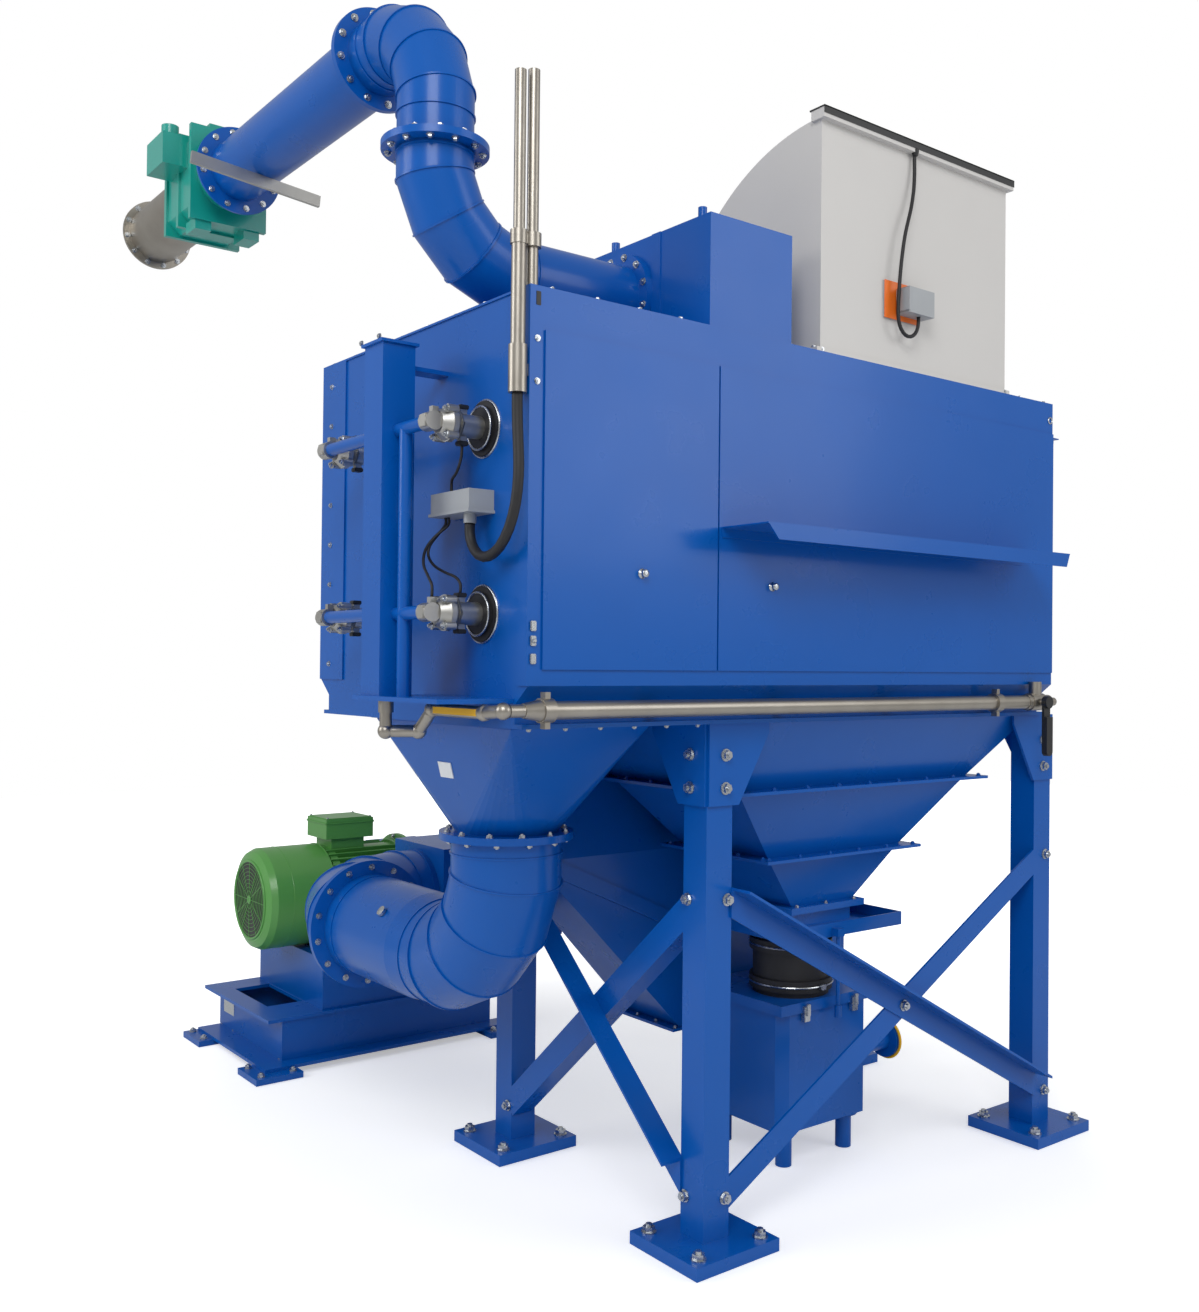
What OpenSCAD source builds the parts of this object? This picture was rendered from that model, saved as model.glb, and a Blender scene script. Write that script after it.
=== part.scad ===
// Cartridge dust collector on a braced leg frame, with its fan set.
// X runs along the long side, Y runs back from the front, Z is up.
// The origin is the underside centre of the front left base plate.

/* [Leg frame] */
// distance between leg centres along the long side
leg_dx = 1610; // [1300:5:2200]
// distance between leg centres front to back
leg_dy = 1010; // [900:5:1400]
// side of the square leg tube
tube = 100; // [80:5:120]
// wall of the leg tube
tube_wall = 6; // [4:0.5:10]
// length of a base plate along X
plate_x = 320; // [260:5:360]
// length of a base plate along Y
plate_y = 300; // [250:5:340]
// thickness of a base plate
plate_t = 38; // [20:1:50]
// distance between anchor holes along X
anchor_x = 240; // [180:5:270]
// distance between anchor holes along Y
anchor_y = 220; // [180:5:250]
// diameter of an anchor hole
anchor_d = 22; // [14:1:30]
// height of the underside of the cabinet flange
flange_z = 1538; // [1400:1:1800]
// leg of the brace angle
angle_leg = 80; // [60:5:100]
// thickness of the brace angle
angle_t = 8; // [6:1:12]
// height of the upper brace bolts
brace_hi = 1020; // [900:5:1120]
// height of the lower brace bolts
brace_lo = 155; // [130:5:260]
// thickness of a gusset plate
gusset_t = 10; // [6:1:16]
// width of a gusset plate at its top
gusset_w = 240; // [180:5:280]
// height of a gusset plate
gusset_h = 240; // [180:5:280]

/* [Cabinet] */
// overhang of the clean air plenum left of the front left leg centre
plenum_over = 712; // [600:2:800]
// overhang of the cabinet right of the right leg centre, less than zero means inside
right_over = -30; // [-60:2:60]
// overhang of the cabinet in front of the leg centres
front_over = 105; // [90:1:140]
// thickness of the flange under the cabinet
flange_t = 12; // [8:1:20]
// height of the cabinet above its flange
cab_h = 1125; // [900:5:1400]
// size of the slanted fold along the bottom of the cabinet
fold = 60; // [40:2:80]
// thickness of the roof plate
roof_t = 6; // [4:1:10]
// depth of the top hem above the front panels
hem = 112; // [80:2:160]
// how far the front panels stand out
panel_t = 6; // [3:1:10]
// depth of the ledge on the front
ledge_d = 190; // [120:5:240]
// height of the ledge above the cabinet flange
ledge_up = 553; // [400:5:700]
// drop of the front lip of the ledge
ledge_lip = 46; // [30:2:60]

/* [Air cleaning system] */
// side of the square compressed air header
header_w = 98; // [80:2:120]
// gap between header and cabinet end
header_gap = 116; // [90:2:140]
// spacing of the pulse valve columns
valve_dy = 612; // [500:4:660]
// spacing of the pulse valve rows
valve_dz = 497; // [400:1:560]
// outer diameter of the air supply pipe
pipe_d = 48; // [34:1:60]
// outer diameter of the pipe to the header
drop_d = 34; // [27:1:42]

/* [Ducts] */
// outer diameter of the roof duct
duct_d = 215; // [180:5:250]
// outer diameter of the roof duct flanges
duct_flange_d = 300; // [260:2:330]
// outer diameter of the clean air duct to the fan
out_d = 310; // [250:5:360]
// outer diameter of the clean air duct flanges
out_flange_d = 412; // [360:2:470]
// thickness of the duct flanges
dflange_t = 10; // [6:1:16]
// width of the roof inlet box along X
box_w = 329; // [280:1:400]
// depth of the roof inlet box
box_dp = 700; // [600:5:800]
// height of the roof inlet box
box_h = 326; // [300:2:420]
// radius of the curved hood on the roof
hood_r = 713; // [560:2:740]
// width of the curved hood
hood_w = 940; // [700:2:1000]

/* [Hopper and bin] */
// depth of the whole hopper
hopper_h = 643; // [560:4:760]
// side of the square hopper outlet
outlet = 300; // [240:10:340]
// width of the shelf flanges round the hopper
shelf = 60; // [40:2:90]
// height of the dust bin without its feet
bin_h = 400; // [340:5:440]

/* [Fan set] */
// diameter of the motor cowl
cowl_d = 442; // [380:2:460]
// height of the motor axis above the floor
motor_z = 660; // [620:2:720]
// length of the fan skid
skid_l = 1020; // [1000:5:1300]
// width of the fan skid
skid_w = 700; // [640:10:760]

/* [Hidden] */
$fn = 64;
e = 0.01;

blue = [0, 0.3, 0.68];
steel = [0.72, 0.7, 0.66];
alu = [0.75, 0.74, 0.72];
black = [0.05, 0.05, 0.06];
green = [0.36, 0.6, 0.3];
teal = [0.06, 0.65, 0.6];
grey = [0.85, 0.86, 0.87];

h = tube / 2;
cab_x0 = -plenum_over;
cab_x1 = leg_dx + right_over;
cab_y0 = -front_over;
cab_y1 = leg_dy + front_over;
cab_z0 = flange_z + flange_t;
cab_z1 = cab_z0 + cab_h;
wall_z1 = cab_z1 - roof_t;
seam_x = -70;
fold_z0 = cab_z0 + 50;
fold_z1 = fold_z0 + 50;
mid_y = leg_dy / 2;
strip = 42;
end_t = 5;
panel_z0 = fold_z1 + 42;
panel_z1 = cab_z1 - hem;

valve_y0 = cab_y0 + 221;
valve_z0 = cab_z0 + 288;
valve_mid = valve_y0 + valve_dy / 2;
valve_l = 188;
hub_l = 44;
header_x1 = cab_x0 - header_gap;
header_x0 = header_x1 - header_w;
header_z0 = cab_z0 + 66;
header_z1 = valve_z0 + valve_dz + 235;
head_y = cab_y0 + 448;
head_hy = 53;
riser_d = 36;
riser_x = header_x0 + header_w / 2;
riser_y = head_y - head_hy - 42;
jbox = [77, 200, 62];
jbox_y = cab_y0 + 170;
jbox_z = cab_z0 + 553;

lap = 6;
pipe_off = 24;
pipe_up = 38;
ball_back = 135;
pipe_y = cab_y0 - pipe_off;
pipe_z = cab_z0 + pipe_up;
ball_x = cab_x1 - ball_back;

box_x0 = seam_x - 31;
duct_y = cab_y0 + 405;
duct_z = cab_z1 + 150;
rise_x = cab_x0 - 56;
bend_r = 285;
seam_w = 5;
bend2_r = 285;
joint_z = cab_z1 + 455;
top_z = cab_z1 + 830;
run_y0 = duct_y + bend2_r + 60;
run_y1 = run_y0 + 1110;
gate_t = 400;
gate_y1 = run_y1 + gate_t;
spool_l = 515;
spool_y1 = gate_y1 + spool_l;

hood_x0 = 355;
hood_z0 = cab_z1 + 12;

out_x = cab_x0 + 332;
out_y = mid_y - 5;
tr_z1 = flange_z;
tr_z0 = flange_z - 354;
out_r = 370;
elbow_d = out_d + 30;
out_z = tr_z0 - 54 - out_r;
ring_y = out_y + out_r + 530;
big_d = out_d + 46;
big_flange_d = out_flange_d + 44;
fan_r = 417;
fan_duct_y = ring_y + 2 * dflange_t + fan_r;

hop_x = leg_dx / 2 - 63;
hop_y = mid_y - 122;
hop_z0 = flange_z - hopper_h;
gate_z = hop_z0 - 120;
bin_foot = 130;
bin_z1 = bin_foot + bin_h;
bin_lid = 36;
bin_x = hop_x + 38;
bin_y = hop_y + 67;

skid_x0 = -335;
skid_y0 = 2270;
motor_y = skid_y0 + 340;
pad_t = 25;
skid_t = 14;
skid_z1 = 217;
cowl_x0 = -345;
body_x1 = 386;
foot_z = motor_z - cowl_d / 2 - 4;

cable_pts = [[-745, -92, 2394], [-745, -92, 2370], [-746, -96, 2310], [-748, -105, 2240],
  [-752, -112, 2180], [-756, -106, 2110], [-760, -84, 2050], [-762, -44, 2005],
  [-762, 8, 1984], [-760, 60, 1990], [-758, 98, 2020], [-757, 112, 2052], [-757, 112, 2078]];
lead_a = [[-782, 116, 2283], [-782, 116, 2262], [-780, 128, 2238], [-774, 156, 2215],
  [-766, 190, 2204], [-758, 208, 2195], [-757, 210, 2182], [-757, 210, 2165]];
lead_b = [[-757, 240, 2103], [-757, 240, 2084], [-766, 268, 2056], [-778, 288, 2028], [-784, 284, 2000],
  [-786, 250, 1972], [-786, 190, 1950], [-783, 140, 1935], [-782, 116, 1916], [-782, 116, 1890]];
lead_c = [[-757, 225, 2103], [-757, 225, 2082], [-790, 236, 2050], [-822, 232, 2012],
  [-846, 200, 1970], [-860, 150, 1935], [-867, 116, 1908], [-867, 116, 1878]];
sensor_pts = [[781, -111, 3390], [781, -111, 3366], [778, -114, 3320], [768, -119, 3260],
  [750, -124, 3200], [730, -128, 3150], [713, -130, 3100], [700, -131, 3040], [690, -132, 2980],
  [684, -132, 2920], [680, -132, 2870], [679, -133, 2835], [685, -134, 2806], [701, -135, 2784],
  [725, -135, 2775], [750, -135, 2781], [769, -135, 2800], [777, -135, 2826], [777, -135, 2847]];

function unit(v) = v / norm(v);
function tangent(p, i) = unit(p[min(i + 1, len(p) - 1)] - p[max(i - 1, 0)]);
function ring_of(p, i, r, n, ref) =
  let (t = tangent(p, i), a = unit(cross(t, ref)), b = cross(a, t))
  [for (k = [0:n - 1]) p[i] + r * (cos(k * 360 / n) * a + sin(k * 360 / n) * b)];

module cord(p, r, n, ref = [1, 0, 0]) {
  m = len(p);
  pts = [for (i = [0:m - 1]) each ring_of(p, i, r, n, ref)];
  sides = [for (i = [0:m - 2]) for (k = [0:n - 1])
    [i * n + k, i * n + (k + 1) % n, (i + 1) * n + (k + 1) % n, (i + 1) * n + k]];
  first = [for (k = [0:n - 1]) n - 1 - k];
  last = [for (k = [0:n - 1]) (m - 1) * n + k];
  polyhedron(pts, concat(sides, [first], [last]), convexity = 6);
}

module at_legs() {
  for (x = [0, leg_dx]) for (y = [0, leg_dy]) translate([x, y, 0]) children();
}

module block(p, q) {
  translate(p) cube(q - p);
}

module leg(x, y) {
  translate([x, y, 0]) difference() {
    union() {
      translate([-plate_x / 2, -plate_y / 2, 0]) cube([plate_x, plate_y, plate_t]);
      translate([-h, -h, plate_t - e]) cube([tube, tube, flange_z - plate_t + e]);
    }
    translate([-h + tube_wall, -h + tube_wall, plate_t + 5])
      cube([tube - 2 * tube_wall, tube - 2 * tube_wall, flange_z - plate_t - 15]);
    for (sx = [-1, 1]) for (sy = [-1, 1])
      translate([sx * anchor_x / 2, sy * anchor_y / 2, -1])
        cylinder(d = anchor_d, h = plate_t + 2);
  }
}

module leg_front_left() {
  color(blue) leg(0, 0);
}

module leg_front_right() {
  color(blue) leg(leg_dx, 0);
}

module leg_back_left() {
  color(blue) leg(0, leg_dy);
}

module leg_back_right() {
  color(blue) leg(leg_dx, leg_dy);
}

// one gusset plate on a face that looks towards minus Y
module gusset() {
  translate([0, -h, flange_z]) rotate([90, 0, 0]) linear_extrude(gusset_t)
    polygon([[-h, 0], [gusset_w - h, 0], [gusset_w - h, -30],
      [tube - h + 18, -gusset_h], [-h, -gusset_h]]);
}

// the same plate for a face that looks towards minus X
module gusset_side() {
  mirror([1, -1, 0]) gusset();
}

module gusset_plates() {
  color(blue) {
    gusset();
    gusset_side();
    translate([leg_dx, 0, 0]) mirror([1, 0, 0]) {
      gusset();
      gusset_side();
    }
    translate([0, leg_dy, 0]) mirror([0, 1, 0]) {
      gusset();
      gusset_side();
    }
    translate([leg_dx, leg_dy, 0]) mirror([1, 0, 0]) mirror([0, 1, 0]) {
      gusset();
      gusset_side();
    }
  }
}

// an angle from a to b in the XZ plane, its web along the plane y: with out above zero the
// web stands before y and the flange is at the top, otherwise behind y and at the bottom
module angle_bar(a, b, y, out) {
  run = norm(b - a);
  turn = atan2(b[1] - a[1], b[0] - a[0]);
  translate([a[0], y, a[1]]) rotate([0, -turn, 0]) {
    translate([0, out > 0 ? -angle_t : 0, -angle_leg / 2]) cube([run, angle_t, angle_leg]);
    translate([0, out > 0 ? -angle_leg : 0, out > 0 ? angle_leg / 2 - angle_t : -angle_leg / 2])
      cube([run, angle_leg, angle_t]);
  }
}

// both braces aim at the bolts in the legs; the outer one laps the leg faces by a little,
// the inner one stands between the legs
module brace_pair(run) {
  for (k = [[1, h - lap, brace_hi, brace_lo], [-1, h, brace_lo, brace_hi + 15]]) difference() {
    angle_bar([h - 18, k[2]], [run + 18, k[3]], -h, k[0]);
    for (x = [-h - tube, run - k[1]])
      translate([x, -h - 200, -200]) cube([tube + h + k[1], 400, flange_z + 200]);
  }
}

module cross_braces() {
  color(blue) {
    brace_pair(leg_dx);
    translate([0, leg_dy, 0]) rotate([0, 0, -90]) brace_pair(leg_dy);
  }
}

module cabinet_flange() {
  color(blue) block([cab_x0, cab_y0 + fold - 35, flange_z],
    [cab_x1 - 5, cab_y1 - fold + 35, cab_z0]);
}

// cabinet section, seen along X
module cabinet_run(x0, x1) {
  translate([x0, 0, 0]) rotate([90, 0, 90]) linear_extrude(x1 - x0)
    polygon([[cab_y0 + fold, cab_z0], [cab_y1 - fold, cab_z0], [cab_y1 - fold, fold_z0],
      [cab_y1, fold_z1], [cab_y1, wall_z1], [cab_y0, wall_z1], [cab_y0, fold_z1],
      [cab_y0 + fold, fold_z0]]);
}

module filter_cabinet() {
  color(blue) cabinet_run(seam_x, cab_x1);
}

module plenum_cabinet() {
  color(blue) {
    cabinet_run(cab_x0, seam_x);
    block([cab_x0 - end_t, cab_y0, fold_z1], [cab_x0 + e, cab_y0 + strip, wall_z1]);
    block([cab_x0 - end_t, cab_y1 - 165, fold_z1], [cab_x0 + e, cab_y1, wall_z1]);
  }
}

module roof_panel() {
  color(blue) {
    block([cab_x0 - end_t, cab_y0, wall_z1], [cab_x1, cab_y1, cab_z1]);
  }
}

module front_panels() {
  color(blue) {
    block([cab_x0 + 40, cab_y0 - panel_t, panel_z0], [seam_x - 2, cab_y0, panel_z1]);
    block([seam_x + 4, cab_y0 - panel_t, panel_z0], [cab_x1 - 3, cab_y0, panel_z1]);
  }
}

module rain_ledge() {
  y0 = cab_y0 - panel_t;
  y1 = y0 - ledge_d;
  z = cab_z0 + ledge_up;
  x0 = seam_x + 12;
  x1 = cab_x1 - 190;
  color(blue) {
    block([x0, y1, z - 4], [x1, y0, z]);
    translate([0, y1 + 4, 0]) rotate([90, 0, 0]) linear_extrude(4)
      polygon([[x0, z], [x1, z], [x1 - 18, z - ledge_lip], [x0 + 42, z - ledge_lip]]);
    block([x0, y0 - 4, z - 30], [x1, y0, z]);
  }
}

module air_header() {
  color(blue) {
    block([header_x0, head_y - head_hy, header_z0], [header_x1, head_y + head_hy, header_z1]);
    block([header_x0 - 8, head_y - head_hy - 8, header_z1 - e],
      [header_x1 + 8, head_y + head_hy + 8, header_z1 + 8]);
  }
}

module header_fittings() {
  hy = head_y - head_hy;
  far_y = head_y + head_hy;
  color(blue) {
    // lower bracket plate
    block([header_x0 - 12, hy - 330, header_z0 - 12], [cab_x0, far_y + 30, header_z0]);
    // upper bracket
    block([header_x1, hy + 20, header_z1 - 60], [cab_x0, hy + 80, header_z1 - 48]);
    // riser and the two stubs to the near valves
    translate([riser_x, riser_y, header_z0])
      cylinder(d = riser_d, h = valve_z0 + valve_dz - header_z0);
    for (z = [valve_z0, valve_z0 + valve_dz])
      translate([riser_x, hy, z]) rotate([90, 0, 0])
        cylinder(d = riser_d, h = hy - valve_y0 - hub_l / 2);
    // the two stubs to the far valves
    for (z = [valve_z0, valve_z0 + valve_dz])
      translate([riser_x, far_y, z]) rotate([-90, 0, 0])
        cylinder(d = riser_d, h = valve_y0 + valve_dy - far_y - hub_l / 2);
  }
}

module at_valves() {
  for (y = [valve_y0, valve_y0 + valve_dy]) for (z = [valve_z0, valve_z0 + valve_dz])
    translate([cab_x0, y, z]) rotate([0, -90, 0]) children();
}

// a diaphragm valve, its axis along Z, its foot at z = 18
module pulse_valve() {
  translate([0, 0, 18]) cylinder(d = 62, h = 70);
  translate([0, 0, 84]) cylinder(d1 = 66, d2 = 96, h = 22);
  translate([0, 0, 105]) cylinder(d = 96, h = 14);
  for (a = [45:90:315]) rotate([0, 0, a]) translate([48, 0, 105]) cylinder(d = 22, h = 30);
  translate([0, 0, 118]) cylinder(d1 = 92, d2 = 58, h = 26);
  translate([0, 0, 140]) cylinder(d = 30, h = valve_l - 140);
  translate([0, 0, header_gap + header_w / 2]) rotate([90, 0, 0])
    cylinder(d = 50, h = hub_l, center = true);
  // cable sockets
  translate([-52, -9, 60]) cube([30, 18, 20]);
  translate([22, -9, 60]) cube([30, 18, 20]);
  translate([10, -9, 146]) cube([30, 18, 18]);
}

module pulse_valves() {
  color(alu) at_valves() pulse_valve();
}

module valve_seals() {
  color(black) at_valves() difference() {
    union() {
      cylinder(d = 148, h = 8);
      translate([0, 0, 7]) cylinder(d = 118, h = 11);
    }
    translate([0, 0, -1]) cylinder(d = 30, h = 10);
  }
}

module junction_box() {
  x1 = cab_x0;
  x0 = x1 - jbox[0];
  color(grey) {
    block([x0, jbox_y, jbox_z + 8], [x1, jbox_y + jbox[1], jbox_z + jbox[2]]);
    block([x0 - 5, jbox_y - 5, jbox_z], [x1, jbox_y + jbox[1] + 5, jbox_z + 8 + e]);
    translate([-757, 112, jbox_z - 25]) cylinder(d = 34, h = 25 + e);
  }
}

module conduits() {
  color(steel) {
    translate([-745, -92, cab_z1 - 281]) cylinder(d = 48, h = 122);
    translate([-745, -92, cab_z1 - 160]) cylinder(d = 38, h = 262);
    translate([-745, -92, cab_z1 + 101]) cylinder(d = 30, h = 441);
    translate([-702, -89, cab_z1]) cylinder(d = 31, h = 555);
    for (x = [-745, -702]) translate([x, -91, cab_z1 + 97]) cylinder(d = 44, h = 36);
    block([-745, -100, cab_z1 + 103], [-702, -80, cab_z1 + 127]);
    block([-738, -99, cab_z1 - 235], [cab_x0 - end_t, -85, cab_z1 - 205]);
  }
}

module power_cable() {
  color(black) translate([0, 0, cab_z1 - 2675]) cord(cable_pts, 14, 12);
}

module valve_leads() {
  color(black) {
    cord(lead_a, 4, 8);
    cord(lead_b, 4, 8);
    cord(lead_c, 4, 8);
  }
}

module pipe_x(x0, x1, d) {
  translate([x0, pipe_y, pipe_z]) rotate([0, 90, 0]) cylinder(d = d, h = x1 - x0);
}

module air_supply_pipe() {
  color(steel) {
    pipe_x(cab_x0 + 40, ball_x - 42, pipe_d);
    for (x = [cab_x0 + 20, ball_x - 250]) {
      pipe_x(x, x + 36, pipe_d + 16);
      translate([x + 18, pipe_y, pipe_z + pipe_d / 2 + 12]) cube([16, 22, 22], center = true);
      translate([x + 18, pipe_y, pipe_z - pipe_d / 2 - 12]) cube([16, 22, 22], center = true);
    }
    pipe_x(ball_x - 62, ball_x - 42, pipe_d + 6);
    for (i = [0:3]) {
      x = cab_x0 + 420 + i * (cab_x1 - cab_x0 - 800) / 3;
      block([x - 12, pipe_y, pipe_z - 6], [x + 12, cab_y0 + fold, pipe_z + 6]);
    }
  }
}

module drop_run(a, b) {
  v = b - a;
  translate(a) rotate([0, acos(v.z / norm(v)), atan2(v.y, v.x)]) cylinder(d = drop_d, h = norm(v));
}

module air_supply_drop() {
  z = header_z0 - 12;
  zr = z - drop_d / 2 - 6;
  zl = zr - 62;
  px = cab_x0 - 88;
  y0 = pipe_y;
  y1 = head_y - 45;
  p = [[cab_x0 - 20, y0, pipe_z], [px, y0, pipe_z], [px, y0 + 90, zr], [px, y1 - 75, zr],
    [px, y1, zl], [riser_x, head_y, zl], [riser_x, head_y, z]];
  color(steel) {
    translate([cab_x0 + 20, pipe_y, pipe_z]) rotate([0, -90, 0])
      cylinder(d1 = pipe_d + 8, d2 = drop_d + 4, h = 50);
    for (i = [0:len(p) - 2]) drop_run(p[i], p[i + 1]);
    for (i = [1:len(p) - 2]) translate(p[i]) sphere(d = drop_d + 10);
    translate([riser_x, head_y, z - 34]) cylinder(d = drop_d + 8, h = 34);
  }
}

module ball_valve() {
  color(black) {
    pipe_x(ball_x - 42, ball_x + 36, 62);
    translate([ball_x, pipe_y, pipe_z + 20]) cylinder(d = 44, h = 52);
    translate([ball_x, pipe_y - 40, pipe_z]) rotate([-90, 0, 0]) cylinder(d = 26, h = 40);
    translate([ball_x, pipe_y - 51, pipe_z]) rotate([-90, 0, 0]) cylinder(d = 14, h = 12);
  }
  color(steel) {
    pipe_x(ball_x + 36, ball_x + 76, 50);
    pipe_x(ball_x + 76, ball_x + 112, 30);
  }
}

// the lever turns on the stem that looks towards the front
module valve_lever() {
  color(black) translate([ball_x, pipe_y - 40.3, pipe_z]) rotate([90, 0, 0]) {
    difference() {
      union() {
        cylinder(d = 44, h = 20);
        translate([-18, -172, 0]) cube([36, 172, 10]);
        translate([-18, -172, 9]) cube([36, 120, 12]);
        translate([0, -172, 0]) cylinder(d = 36, h = 21);
      }
      translate([0, 0, -1]) cylinder(d = 15, h = 14);
    }
  }
}

module roof_inlet_box() {
  x1 = box_x0 + box_w;
  y1 = cab_y0 + box_dp;
  color(blue) {
    block([box_x0, cab_y0 + 4, cab_z1], [x1, y1, cab_z1 + box_h]);
    block([box_x0 - 4, cab_y0 + 225, cab_z1], [box_x0 + e, cab_y0 + 265, cab_z1 + box_h]);
    translate([box_x0, duct_y, duct_z]) rotate([0, -90, 0]) cylinder(d = duct_flange_d - 10, h = 14);
    for (p = [[box_x0 + 18, cab_y0 + 60], [box_x0 + 18, cab_y0 + 470]])
      translate([p[0], p[1], cab_z1 + box_h - e]) cylinder(d = 26, h = 30);
  }
}

// sector wedge from angle a to b in the XY plane, about the origin
module sector(a, b, big, t) {
  translate([0, 0, -t / 2]) linear_extrude(t)
    polygon([[0, 0], big * [cos(a), sin(a)], big * [cos((a + b) / 2), sin((a + b) / 2)] * 1.1,
      big * [cos(b), sin(b)]]);
}

// mitred bend in the XY plane, from +X round to +Y, its centre line at radius r
module mitred(r, d, n) {
  step = 90 / n;
  for (i = [0:n]) {
    m = i * step;
    lo = max(0, m - step / 2 + 0.05);
    hi = min(90, m + step / 2 - 0.05);
    intersection() {
      rotate([0, 0, m]) translate([r, 0, 0]) rotate([90, 0, 0])
        cylinder(d = d, h = r * 1.2, center = true);
      sector(lo, hi, 2.2 * (r + d), d * 1.2);
    }
  }
  // seams
  for (i = [0:n - 1]) rotate([0, 0, (i + 0.5) * step]) translate([r / cos(step / 2), 0, 0])
    rotate([90, 0, 0]) cylinder(d = d / cos(step / 2) + 5, h = seam_w, center = true);
  translate([r, 0, 0]) rotate([90, 0, 0]) cylinder(d = d + 7, h = seam_w, center = true);
  translate([0, r, 0]) rotate([0, 90, 0]) cylinder(d = d + 7, h = seam_w, center = true);
}

// the bend starts at the inlet box and turns up
module inlet_elbow() {
  x0 = rise_x + bend_r;
  color(blue) {
    translate([box_x0 - 14, duct_y, duct_z]) rotate([0, -90, 0])
      cylinder(d = duct_flange_d - 10, h = dflange_t);
    translate([x0, duct_y, duct_z]) rotate([0, 90, 0]) cylinder(d = duct_d - 1, h = box_x0 - 14 - x0);
    translate([x0, duct_y, duct_z + bend_r]) rotate([-90, 90, 0]) mitred(bend_r, duct_d, 4);
    translate([rise_x, duct_y, duct_z + bend_r - e])
      cylinder(d = duct_d - 6, h = joint_z - dflange_t - duct_z - bend_r + 2 * e);
    translate([rise_x, duct_y, joint_z - dflange_t]) cylinder(d = duct_flange_d, h = dflange_t);
  }
}

module upper_elbow() {
  color(blue) {
    translate([rise_x, duct_y, joint_z]) cylinder(d = duct_flange_d, h = dflange_t);
    translate([rise_x, duct_y, joint_z + dflange_t - e])
      cylinder(d = duct_d - 1, h = top_z - bend2_r - joint_z - dflange_t + 2 * e);
    translate([rise_x, duct_y + bend2_r, top_z - bend2_r]) rotate([90, 0, -90])
      mitred(bend2_r, duct_d, 4);
    translate([rise_x, duct_y + bend2_r - e, top_z]) rotate([-90, 0, 0])
      cylinder(d = duct_d - 1, h = run_y0 - dflange_t - duct_y - bend2_r + 2 * e);
    translate([rise_x, run_y0 - dflange_t, top_z]) rotate([-90, 0, 0])
      cylinder(d = duct_flange_d, h = dflange_t);
  }
}

module straight_duct() {
  color(blue) translate([rise_x, run_y0, top_z]) rotate([-90, 0, 0]) {
    cylinder(d = duct_flange_d, h = dflange_t);
    cylinder(d = duct_d, h = run_y1 - run_y0);
    translate([0, 0, run_y1 - run_y0 - dflange_t]) cylinder(d = duct_flange_d + 14, h = dflange_t);
  }
}

module isolation_valve() {
  wx = duct_d / 2 + 28;
  wz = duct_d / 2 + 58;
  c = 44;
  y0 = run_y1 + 90;
  y1 = run_y1 + gate_t;
  color(teal) translate([rise_x, 0, top_z]) {
    translate([0, run_y1, 0]) rotate([-90, 0, 0]) cylinder(d = duct_d + 26, h = 91);
    translate([0, y1 - 20, 0]) rotate([90, 0, 0]) linear_extrude(y1 - 20 - y0)
      polygon([[-wx, -wz + c], [-wx + c, -wz], [wx - c, -wz], [wx, -wz + c], [wx, wz - c],
        [wx - c, wz], [-wx + c, wz], [-wx, wz - c]]);
    translate([0, y1 - 21, 0]) rotate([-90, 0, 0]) cylinder(d = duct_d + 36, h = 21);
    for (y = [y0, y0 + 130, y1 - 44])
      block([-wx - 9, y, -wz - 9], [wx + 9, y + 22, wz + 9]);
    // top block, drive housing on the left and two feet at the bottom
    block([-62, y0 + 40, wz - e], [62, y1 - 60, wz + 40]);
    block([-wx - 92, y0 + 60, 26], [-wx + e, y1 - 70, 142]);
    translate([-wx - 46, y0 + 120, 140]) cylinder(d = 62, h = 46);
    for (x = [-wx + 14, wx - 74]) block([x, y0 + 10, -wz - 42], [x + 60, y0 + 110, -wz + e]);
  }
}

module valve_bar() {
  color(alu) translate([rise_x, run_y1 - 290, top_z]) rotate([0, 5.6, 0])
    translate([-262, 0, -duct_d / 2 - 40.3]) cube([466, 14, 40]);
}

module duct_spool() {
  color(steel) translate([rise_x, gate_y1, top_z]) rotate([-90, 0, 0]) difference() {
    union() {
      cylinder(d = duct_d + 14, h = spool_l);
      cylinder(d = duct_d + 44, h = 12);
      translate([0, 0, spool_l - 14]) cylinder(d = duct_flange_d - 20, h = 14);
    }
    translate([0, 0, spool_l - 90]) cylinder(d = duct_d, h = 100);
  }
}

module vent_hood() {
  color(grey) {
    translate([hood_x0, 0, 0]) rotate([90, 0, 90]) linear_extrude(hood_w) intersection() {
      translate([cab_y0 + 6, hood_z0]) circle(r = hood_r, $fn = 96);
      translate([cab_y0 + 6, hood_z0]) square([hood_r, hood_r]);
    }
    block([hood_x0 - 12, cab_y0 + 6 - 22, hood_z0 + hood_r - 10],
      [hood_x0 + hood_w + 14, cab_y0 + 40, hood_z0 + hood_r + 22]);
    block([hood_x0 - 20, cab_y0, cab_z1], [hood_x0 + hood_w + 20, cab_y0 + hood_r + 30, hood_z0 + e]);
  }
}

module hood_sensor() {
  y = cab_y0 + 6;
  color([0.94, 0.47, 0.1]) block([645, y - 6, cab_z1 + 157], [815, y, cab_z1 + 275]);
  color(grey) {
    block([702, y - 60, cab_z1 + 172], [828, y - 6, cab_z1 + 255]);
    block([696, y - 66, cab_z1 + 178], [702 + e, y - 12, cab_z1 + 249]);
  }
}

module sensor_cable() {
  color(black) translate([0, 0, cab_z1 - 2675]) cord(sensor_pts, 6, 8, [0, 1, 0]);
}

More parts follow.
